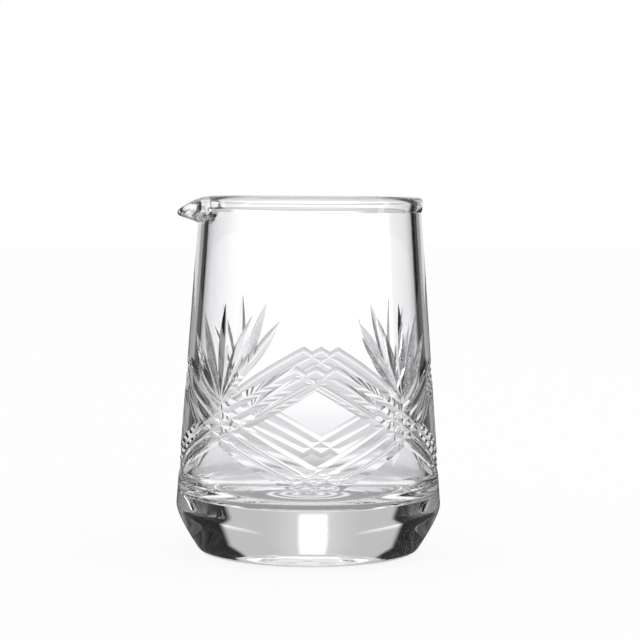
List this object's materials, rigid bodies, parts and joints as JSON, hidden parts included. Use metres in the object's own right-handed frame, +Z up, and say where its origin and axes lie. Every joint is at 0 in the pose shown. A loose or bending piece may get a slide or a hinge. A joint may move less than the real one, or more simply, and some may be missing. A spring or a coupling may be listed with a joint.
{
  "type": "cocktail mixing glass",
  "caption": "Heavy-based, tapered cocktail mixing glass with a pulled pouring lip, a rounded rim and a cut lattice with leaf fans round its outside.",
  "frame": {"origin": "centre of the standing face, on the glass's axis", "axes": "+Z up the axis towards the mouth, the pouring lip points to -X, the middle of one cut diamond faces -Y"},
  "size_m": [0.0971, 0.097, 0.13],
  "materials": {
    "clear_glass": "polished clear glass with polished cuts"
  },
  "bodies": {
    "root": {"heavy_base": "clear_glass", "bowl_wall": "clear_glass", "rim_bead": "clear_glass", "pouring_lip": "clear_glass"}
  },
  "joints": []
}
